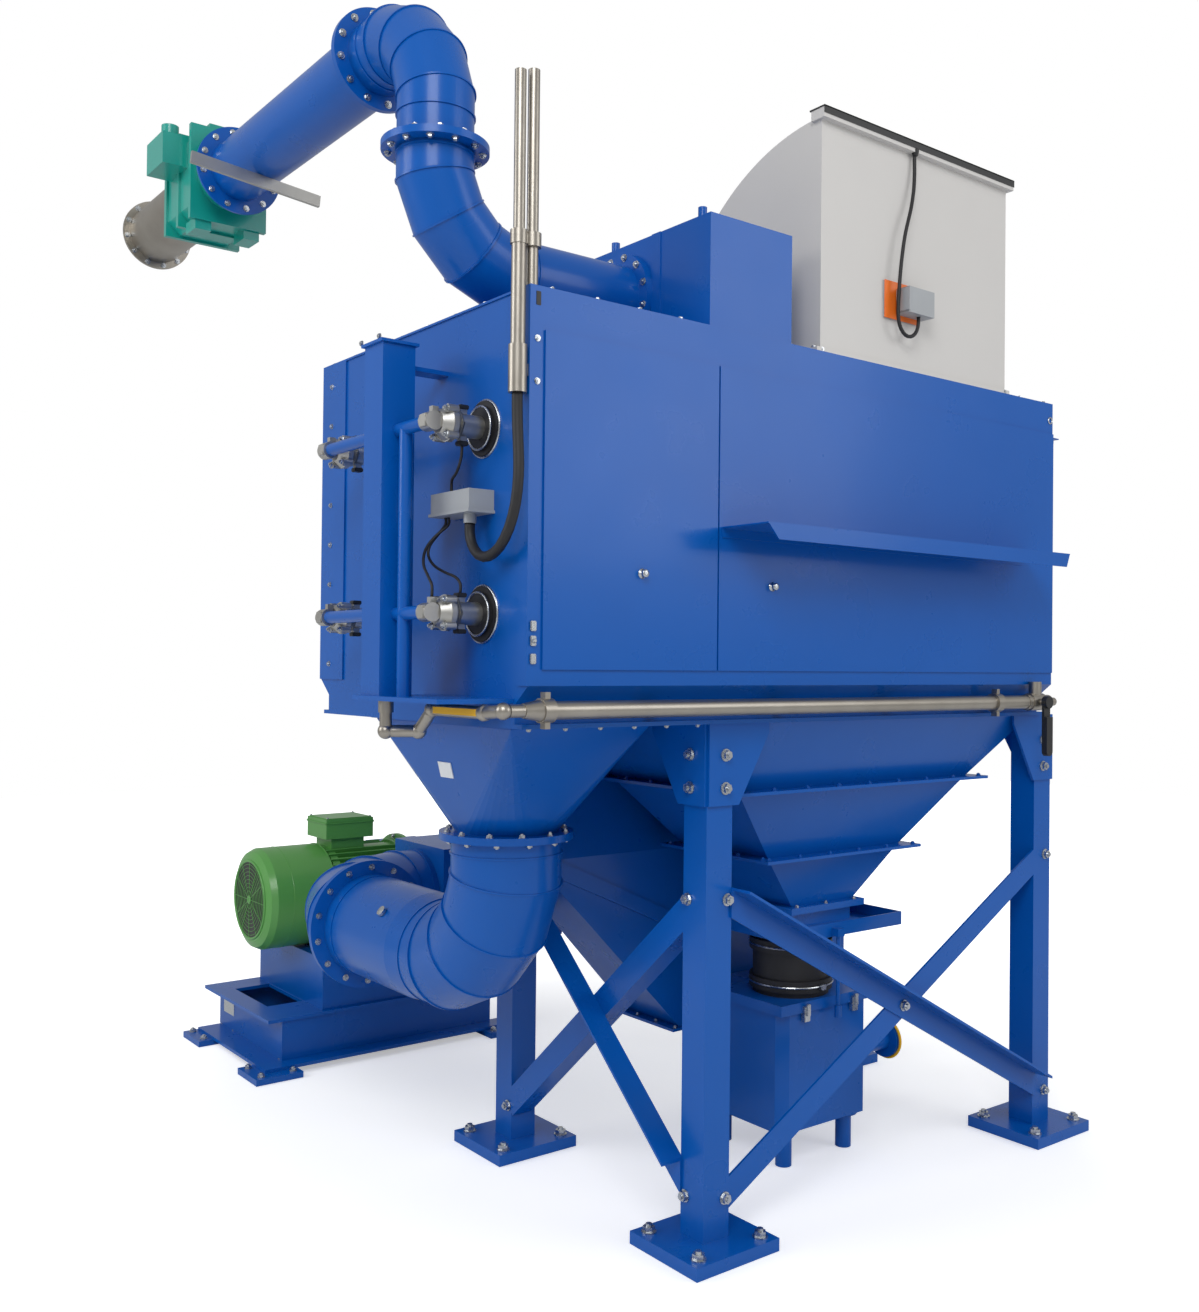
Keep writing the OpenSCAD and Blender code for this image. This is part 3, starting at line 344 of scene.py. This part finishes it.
def cylinderNode(tree, radius, depth, sides, lift):
    body = addNode(tree, "GeometryNodeMeshCylinder", {"Vertices": sides}, {"Radius": radius, "Depth": depth})
    offset = addNode(tree, "ShaderNodeCombineXYZ", None, {"Z": lift})
    return addNode(tree, "GeometryNodeTransform", None, {"Geometry": body.outputs["Mesh"], "Translation": offset.outputs[0]}).outputs[0]


# hex head on a washer, with the thread end standing out of it
def hexForm(tree, inputs):
    across, high, thread = (inputs.outputs[k] for k in ("Head width", "Head height", "Thread length"))
    washer = cylinderNode(tree, scaled(tree, across, 0.72), scaled(tree, high, 0.3), 16, scaled(tree, high, 0.15))
    head = cylinderNode(tree, scaled(tree, across, 0.577), high, 6, scaled(tree, high, 0.8))
    lift = addNode(tree, "ShaderNodeMath", {"operation": "ADD"}, {0: scaled(tree, thread, 0.5), 1: scaled(tree, high, 1.2)})
    end = cylinderNode(tree, scaled(tree, across, 0.3), thread, 12, lift.outputs[0])
    join = addNode(tree, "GeometryNodeJoinGeometry")
    for part in (end, head, washer):
        tree.links.new(part, join.inputs[0])
    return join.outputs[0]


def plateForm(tree, inputs):
    size = addNode(tree, "ShaderNodeCombineXYZ", None, {k: inputs.outputs[n] for k, n in (("X", "Width"), ("Y", "Thickness"), ("Z", "Length"))})
    cube = addNode(tree, "GeometryNodeMeshCube", None, {"Size": size.outputs[0]})
    return cube.outputs["Mesh"]


hexTree = patternTree("hexBolts", {"Head width": 0.019, "Head height": 0.008, "Thread length": 0.006}, hexForm)
plateTree = patternTree("finRow", {"Width": 0.004, "Thickness": 0.004, "Length": 0.1}, plateForm)


def spreadPattern(name, tree, places, finish, sizes, turn=0.0):
    mesh = bpy.data.meshes.new(name)
    mesh.from_pydata([tuple(c / 1000 for c in at) for at, aim in places], [], [])
    attr = mesh.attributes.new("aim", "FLOAT_VECTOR", "POINT")
    attr.data.foreach_set("vector", [c for at, aim in places for c in Vector(aim).normalized()])
    obj = bpy.data.objects.new(name, mesh)
    bpy.context.scene.collection.objects.link(obj)
    mod = obj.modifiers.new("pattern", "NODES")
    mod.node_group = tree
    sockets = {i.name: i.identifier for i in tree.interface.items_tree if i.in_out == "INPUT"}
    for label, value in sizes.items():
        mod[sockets[label]] = value / 1000
    mod[sockets["Seed"]] = 11
    mod[sockets["Random turn"]] = turn
    mod[sockets["Finish"]] = finishes[finish]
    bpy.context.view_layer.update()
    done = bpy.data.meshes.new_from_object(obj.evaluated_get(bpy.context.evaluated_depsgraph_get()))
    obj.modifiers.clear()
    obj.data = done
    obj.data.name = name
    if not done.materials:
        done.materials.append(finishes[finish])
    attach(obj, root)
    return obj


def ringOf(centre, aim, radius, count, start=0.0):
    place = aimed((0, 0, 0), aim)
    out = []
    for k in range(count):
        w = start + k * math.tau / count
        out.append((tuple(Vector(centre) + place.to_3x3() @ Vector((radius * math.cos(w), radius * math.sin(w), 0))), aim))
    return out


def rowOf(a, b, count, aim):
    a, b = Vector(a), Vector(b)
    return [(tuple(a.lerp(b, k / (count - 1))), aim) for k in range(count)]


# main sizes shared with the part's source, in mm
plant = {"legX": 1610, "legY": 1010, "half": 50, "plate": 38, "x0": -712, "x1": 1580, "y0": -105, "y1": 1115,
         "z0": 1550, "z1": 2675, "ductX": -768, "ductY": 300, "ductTop": 3505, "joint": 3130, "runY0": 645,
         "runY1": 1755, "gateY1": 2155, "spoolY1": 2670, "outX": -380, "outY": 500, "outZ": 760, "ringY": 1400,
         "motorY": 2610, "motorZ": 660, "cowlX": -345, "cowl": 442, "bodyX1": 386, "hopX": 742, "hopY": 383}
P = plant


def boltStage():
    anchors = [((x + sx * 120, y + sy * 110, P["plate"]), (0, 0, 1)) for x in (0, P["legX"]) for y in (0, P["legY"])
               for sx in (-1, 1) for sy in (-1, 1)]
    skidBolts = [((x + sx * 68, y + sy * 68, 25), (0, 0, 1)) for x in (-400, 705) for y in (2230, 2880)
                 for sx in (-1, 1) for sy in (-1, 1)]
    spreadPattern("skidNuts", hexTree, skidBolts, "zincPlate",
                  {"Head width": 22, "Head height": 10, "Thread length": 6}, turn=1.0)
    spreadPattern("anchorNuts", hexTree, anchors, "zincPlate",
                  {"Head width": 32, "Head height": 14, "Thread length": 9}, turn=1.0)
    frameBolts = []
    for sx, x in ((1, 0), (-1, P["legX"])):
        for sy, y in ((1, 0), (-1, P["legY"])):
            for z in (1446, 1349):
                frameBolts.append(((x + sx * 12, y - sy * 60, z), (0, -sy, 0)))
                frameBolts.append(((x - sx * 60, y + sy * 12, z), (-sx, 0, 0)))
    # brace bolts through the leg faces, and where the braces cross
    for x in (32, P["legX"] + 18):
        frameBolts += [((x, -50, 1022), (0, -1, 0)), ((x, -50, 153), (0, -1, 0))]
    for y in (30, P["legY"] - 30):
        frameBolts += [((-50, y, 1020), (-1, 0, 0)), ((-50, y, 154), (-1, 0, 0))]
    frameBolts += [((821, -58, 591), (0, -1, 0)), ((-58, 508, 594), (-1, 0, 0))]
    spreadPattern("frameBolts", hexTree, frameBolts, "zincPlate",
                  {"Head width": 26, "Head height": 12, "Thread length": 8}, turn=1.0)
    small = []
    # roof edge, front and left end
    small += rowOf((-640, P["y0"] + 13, P["z1"]), (1540, P["y0"] + 13, P["z1"]), 16, (0, 0, 1))
    small += rowOf((-702, -20, P["z1"]), (-702, 1060, P["z1"]), 8, (0, 0, 1))
    # flange under the cabinet, left of the leg
    small += rowOf((-680, -63, 1538), (-100, -63, 1538), 6, (0, 0, -1))
    # corner column of the plenum and the corner latch
    small += rowOf((-717, 1045, 1700), (-717, 1045, 2600), 8, (-1, 0, 0))
    small += [((-694, P["y0"], 2539), (0, -1, 0)), ((-694, P["y0"], 2429), (0, -1, 0))]
    # hood foot
    small += rowOf((345, -80, 2687), (345, 610, 2687), 7, (0, 0, 1))
    small += rowOf((1305, -80, 2687), (1305, 610, 2687), 7, (0, 0, 1))
    small += rowOf((360, -100, 2681), (1290, -100, 2681), 2, (0, -1, 0))
    # hopper shelves, painted over
    shelf = rowOf((150, 26, 1320), (1330, 26, 1320), 9, (0, 0, 1))
    shelf += rowOf((144, 60, 1320), (144, 700, 1320), 6, (0, 0, 1))
    shelf += rowOf((385, 135, 1080), (1100, 135, 1080), 6, (0, 0, 1))
    shelf += rowOf((383, 160, 1080), (383, 620, 1080), 5, (0, 0, 1))
    spreadPattern("shelfBolts", hexTree, shelf, "blueEnamel",
                  {"Head width": 13, "Head height": 5, "Thread length": 3}, turn=1.0)
    small += rowOf((600, 218, 895), (884, 218, 895), 3, (0, 0, 1))
    # rear chute flange
    small += rowOf((478, 700, 401), (478, 1020, 401), 4, (0, 0, 1))
    # header flange
    small += rowOf((-928, 305, 2585), (-928, 410, 2585), 2, (-1, 0, 0))
    spreadPattern("sheetBolts", hexTree, small, "zincPlate",
                  {"Head width": 12, "Head height": 4.5, "Thread length": 2.5}, turn=1.0)
    flange = ringOf((-125, P["ductY"], 2825), (-1, 0, 0), 132, 12, 0.26)
    flange += ringOf((P["ductX"], P["ductY"], P["joint"] - 10), (0, 0, -1), 131, 12, 0.1)
    flange += ringOf((P["ductX"], P["ductY"], P["joint"] + 10), (0, 0, 1), 131, 12, 0.1)
    flange += ringOf((P["ductX"], P["runY0"] - 10, P["ductTop"]), (0, -1, 0), 131, 12, 0.2)
    flange += ringOf((P["ductX"], P["runY0"] + 10, P["ductTop"]), (0, 1, 0), 131, 12, 0.2)
    flange += ringOf((P["ductX"], P["runY1"] - 10, P["ductTop"]), (0, -1, 0), 136, 12, 0.2)
    flange += ringOf((P["ductX"], P["gateY1"] + 12, P["ductTop"]), (0, 1, 0), 121, 12, 0.2)
    flange += ringOf((P["ductX"], P["spoolY1"] - 14, P["ductTop"]), (0, -1, 0), 126, 12, 0.2)
    flange += ringOf((P["outX"], P["outY"], 1196), (0, 0, 1), 184, 12, 0.2)
    flange += ringOf((P["outX"], P["outY"], 1174), (0, 0, -1), 184, 12, 0.2)
    flange += ringOf((P["outX"], P["ringY"], P["outZ"]), (0, -1, 0), 204, 14, 0.2)
    flange += ringOf((P["outX"], P["ringY"] + 20, P["outZ"]), (0, 1, 0), 204, 14, 0.2)
    flange += ringOf((P["bodyX1"] - 20, P["motorY"], P["motorZ"]), (-1, 0, 0), 224, 12, 0.1)
    spreadPattern("flangeBolts", hexTree, flange, "zincPlate",
                  {"Head width": 16, "Head height": 6, "Thread length": 4}, turn=1.0)
    bonnet = []
    for y in (116, 728):
        for z in (1838, 2335):
            bonnet += [((-712 - 135, p[1], p[2]), aim) for p, aim in ringOf((0, y, z), (-1, 0, 0), 48, 4, math.pi / 4)]
    spreadPattern("bonnetScrews", hexTree, bonnet, "zincPlate",
                  {"Head width": 13, "Head height": 6, "Thread length": 5}, turn=1.0)


def motorStage():
    m = {"y": P["motorY"], "z": P["motorZ"], "fins": 44, "finLow": 193, "finHigh": 221}
    # cooling fins between cowl and end shield
    fins = []
    for k in range(m["fins"]):
        w = k * math.tau / m["fins"]
        if abs(math.sin(w) - 1) < 0.09 or math.sin(w) < -0.86:
            continue
        r = (m["finLow"] + m["finHigh"]) / 2
        fins.append(((147, m["y"] + r * math.cos(w), m["z"] + r * math.sin(w)), w))
    bm = bmesh.new()
    for at, w in fins:
        place = Matrix.Translation(Vector(at) / 1000) @ Matrix.Rotation(w, 4, "X")
        made = bmesh.ops.create_cube(bm, size=1.0, matrix=place @ Matrix.Diagonal((0.358, 0.030, 0.006, 1)))
        edges = {e for v in made["verts"] for e in v.link_edges}
        bmesh.ops.bevel(bm, geom=list(edges), offset=0.0012, segments=1, affect="EDGES")
    fromBmesh(bm, "coolingFins", "greenEnamel")
    # air grille in the cowl's end: rings and ribs before a black disc, painted shade standing for the dark hollow
    # inside
    bm = bmesh.new()
    addTurned(bm, (P["cowlX"] - 0.5, m["y"], m["z"]), (-1, 0, 0), [(164, 0), (164, 1.0), (163, 1.4)], 64)
    fromBmesh(bm, "cowlShadeDisc", "blackPlastic")
    bm = bmesh.new()
    for k in range(8):
        addRing(bm, (P["cowlX"] - 3, m["y"], m["z"]), (-1, 0, 0), 38 + k * 16.5, 1.2, 64, 6)
    addTurned(bm, (P["cowlX"] - 1, m["y"], m["z"]), (-1, 0, 0), [(19, 0), (19, 4), (16, 6), (8, 6), (7, 3)], 32)
    addRing(bm, (P["cowlX"] - 1, m["y"], m["z"]), (-1, 0, 0), 168, 6, 64, 8)
    fromBmesh(bm, "cowlGrille", "greenEnamel", smooth=True)
    ribs = [((P["cowlX"] - 3, m["y"] + 92 * math.cos(k * math.tau / 12), m["z"] + 92 * math.sin(k * math.tau / 12)),
             (0, math.cos(k * math.tau / 12), math.sin(k * math.tau / 12))) for k in range(12)]
    spreadPattern("cowlRibs", plateTree, ribs, "greenEnamel", {"Width": 2.0, "Thickness": 2.0, "Length": 142})
    # cowl seam and screws, lid of the terminal box
    bm = bmesh.new()
    addRing(bm, (-232, m["y"], m["z"]), (1, 0, 0), 221, 1.6, 72, 6)
    addRing(bm, (-38, m["y"], m["z"]), (1, 0, 0), 221, 2.4, 72, 6)
    addBlock(bm, (-40, m["y"] - 105, 974), (200, m["y"] + 105, 984), 3)
    addBlock(bm, (-34, m["y"] - 99, 984), (194, m["y"] + 99, 1001), 6)
    fromBmesh(bm, "terminalLid", "greenEnamel", smooth=False)
    lid = [((x, m["y"] + s * 88, 1001), (0, 0, 1)) for x in (-24, 184) for s in (-1, 1)]
    spreadPattern("terminalScrews", hexTree, lid, "zincPlate", {"Head width": 8, "Head height": 3, "Thread length": 1.5})


def trimStage():
    # dark gutter along the hood's top edge
    bm = bmesh.new()
    addBlock(bm, (341, -123, 3402), (1311, -121.5, 3424), 0)
    addBlock(bm, (341, -123, 3421), (1311, -60, 3425.5), 0)
    addTurned(bm, (781, -114, 3402), (0, 0, -1), [(9, 0), (12, 2), (12, 9), (8, 22)], 16)
    fromBmesh(bm, "hoodGutter", "blackPlastic")
    bm = bmesh.new()
    addBlock(bm, (643, -107, 2830), (817, -105, 2952), 0.8)
    fromBmesh(bm, "sensorPlate", "orangePlastic")
    # turn catches on the two doors
    bm = bmesh.new()
    for x, z in ((-348, 1954), (146, 1941)):
        addTurned(bm, (x, -111, z), (0, -1, 0), [(14, 0), (14, 2), (6, 3), (6, 7), (10, 8), (11, 10), (11, 17), (9, 19), (4, 19.5)], 24)
    fromBmesh(bm, "doorCatches", "zincPlate", smooth=True)
    # valve ports: metal ring round each seal
    bm = bmesh.new()
    for y in (116, 728):
        for z in (1838, 2335):
            addRing(bm, (-713, y, z), (-1, 0, 0), 76, 4, 48, 8)
            addRing(bm, (-730, y, z), (-1, 0, 0), 58, 3, 48, 8)
    fromBmesh(bm, "portRings", "zincPlate", smooth=True)
    bm = bmesh.new()
    for y in (116, 728):
        for z in (1838, 2335):
            addTurned(bm, (-794, y, z), (-1, 0, 0), [(37, 0), (38.6, 2), (44, 8), (45, 10)], 6)
            addBlock(bm, (-889, y - 17, z - 17), (-902, y + 17, z + 17), 2)
    fromBmesh(bm, "valveHexes", "castAluminium")
    bm = bmesh.new()
    for y in (116, 728):
        for z in (1838, 2335):
            addBlock(bm, (-796, y - 13, z - 54), (-768, y + 13, z - 42), 2)
            addBlock(bm, (-796, y - 13, z + 42), (-768, y + 13, z + 54), 2)
    fromBmesh(bm, "socketCaps", "blackPlastic")
    # seam bands of the flexible connector and clamps
    bm = bmesh.new()
    for z in (604, 735):
        addRing(bm, (P["hopX"], P["hopY"], z), (0, 0, 1), 147, 3, 64, 6)
        addBlock(bm, (P["hopX"] - 12, P["hopY"] - 162, z - 9), (P["hopX"] + 12, P["hopY"] - 144, z + 9), 2)
    fromBmesh(bm, "hoseClamps", "zincPlate")
    # lid latches of the dust bin
    bm = bmesh.new()
    for x in (660, 900):
        addBlock(bm, (x - 14, 219, 500), (x + 14, 238, 552), 2)
        addBlock(bm, (x - 9, 212, 520), (x + 9, 222, 560), 2)
    fromBmesh(bm, "binLatches", "zincPlate")
    bm = bmesh.new()
    addRing(bm, (1151, 295, 344), (1, 0, 0), 69, 5, 48, 8)
    fromBmesh(bm, "outletRing", "yellowLabel", smooth=True)
    # blank labels and plates
    bm = bmesh.new()
    addBlock(bm, (-336.2, 2800, 105), (-335, 2920, 165), 0.3)
    fromBmesh(bm, "ratingPlate", "zincPlate")
    bm = bmesh.new()
    addBlock(bm, (-818.6, -30, 1572), (-817, 190, 1590), 0.4)
    fromBmesh(bm, "pipeLabel", "yellowLabel")
    bm = bmesh.new()
    place = aimed((-587, 515, 1388), (-1, 0, -0.262)) @ Matrix.Diagonal((0.074, 0.048, 0.003, 1))
    bmesh.ops.create_cube(bm, size=1.0, matrix=place)
    fromBmesh(bm, "transitionLabel", "whiteLabel")
    # slot drawn as a black block of painted shade, latch and lifting eye on the front, bracket on the right end
    bm = bmesh.new()
    addBlock(bm, (-699, -106.2, 2624), (-684, -104, 2660), 1)
    fromBmesh(bm, "slotShadeBlock", "blackPlastic")
    bm = bmesh.new()
    for z in (1706, 1752, 1790):
        addBlock(bm, (-709, -112, z), (-691, -104, z + 26), 2)
    addTurned(bm, (-700, -112, 1765), (0, -1, 0), [(6, 0), (6, 5), (4, 8)], 12)
    addRing(bm, (1562, -107, 2612), (0, -1, 0), 11, 2.5, 24, 6)
    fromBmesh(bm, "cornerLatch", "zincPlate")
    bm = bmesh.new()
    addBlock(bm, (1580, -108, 2548), (1616, -60, 2552), 0.5)
    addBlock(bm, (1580, -108, 2530), (1583, -60, 2552), 0.5)
    fromBmesh(bm, "endBracket", "blueEnamel")
    # test plug on the clean air duct
    bm = bmesh.new()
    addTurned(bm, (-515, 1035, 872), (-0.77, 0, 0.64), [(13, -20), (13, 6), (17, 6), (17, 16), (8, 18)], 20)
    fromBmesh(bm, "testPlug", "zincPlate")


cordRoutes = {
    "powerCable": ([(-745, -92, 2394), (-745, -92, 2370), (-746, -96, 2310), (-748, -105, 2240), (-752, -112, 2180),
                    (-756, -106, 2110), (-760, -84, 2050), (-762, -44, 2005), (-762, 8, 1984), (-760, 60, 1990),
                    (-758, 98, 2020), (-757, 112, 2052), (-757, 112, 2078)], 14, (1, 0, 0), "stiff"),
    "sensorCable": ([(781, -111, 3390), (781, -111, 3366), (778, -114, 3320), (768, -119, 3260), (750, -124, 3200),
                     (730, -128, 3150), (713, -130, 3100), (700, -131, 3040), (690, -132, 2980), (684, -132, 2920),
                     (680, -132, 2870), (679, -133, 2835), (685, -134, 2806), (701, -135, 2784), (725, -135, 2775),
                     (750, -135, 2781), (769, -135, 2800), (777, -135, 2826), (777, -135, 2847)], 6, (0, 1, 0), "medium"),
}
leadRoutes = {
    "leadUpper": [(-782, 116, 2283), (-782, 116, 2262), (-780, 128, 2238), (-774, 156, 2215), (-766, 190, 2204),
                  (-758, 208, 2195), (-757, 210, 2182), (-757, 210, 2165)],
    "leadLower": [(-757, 240, 2103), (-757, 240, 2084), (-766, 268, 2056), (-778, 288, 2028), (-784, 284, 2000),
                  (-786, 250, 1972), (-786, 190, 1950), (-783, 140, 1935), (-782, 116, 1916), (-782, 116, 1890)],
    "leadPilot": [(-757, 225, 2103), (-757, 225, 2082), (-790, 236, 2050), (-822, 232, 2012), (-846, 200, 1970),
                  (-860, 150, 1935), (-867, 116, 1908), (-867, 116, 1878)],
}


# a route with points added on a smooth curve through the given ones
def smoothed(points, parts):
    pts = [Vector(p) for p in points]
    out = []
    for i in range(len(pts) - 1):
        p0, p1, p2, p3 = pts[max(i - 1, 0)], pts[i], pts[i + 1], pts[min(i + 2, len(pts) - 1)]
        for k in range(parts):
            t = k / parts
            out.append(0.5 * (2 * p1 + (p2 - p0) * t + (2 * p0 - 5 * p1 + 4 * p2 - p3) * t * t
                              + (3 * p1 - p0 - 3 * p2 + p3) * t ** 3))
    out.append(pts[-1])
    return out


def cordStage():
    cable = tube("powerCable", smoothed(cordRoutes["powerCable"][0], 2), 14, 12, "blackRubber", (1, 0, 0))
    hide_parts("power_cable")
    sensor = tube("sensorCable", smoothed(cordRoutes["sensorCable"][0], 2), 6, 12, "blackRubber", (0, 1, 0))
    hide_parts("sensor_cable")
    for k, (name, route) in enumerate(leadRoutes.items()):
        lead = tube(name, smoothed(route, 3), 4, 10, "blackRubber", (1, 0, 0))
        if k == 0:
            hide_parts("valve_leads")


boltStage()
print("bolts set")
motorStage()
trimStage()
print("motor and trim set")
cordStage()
print("cords set")
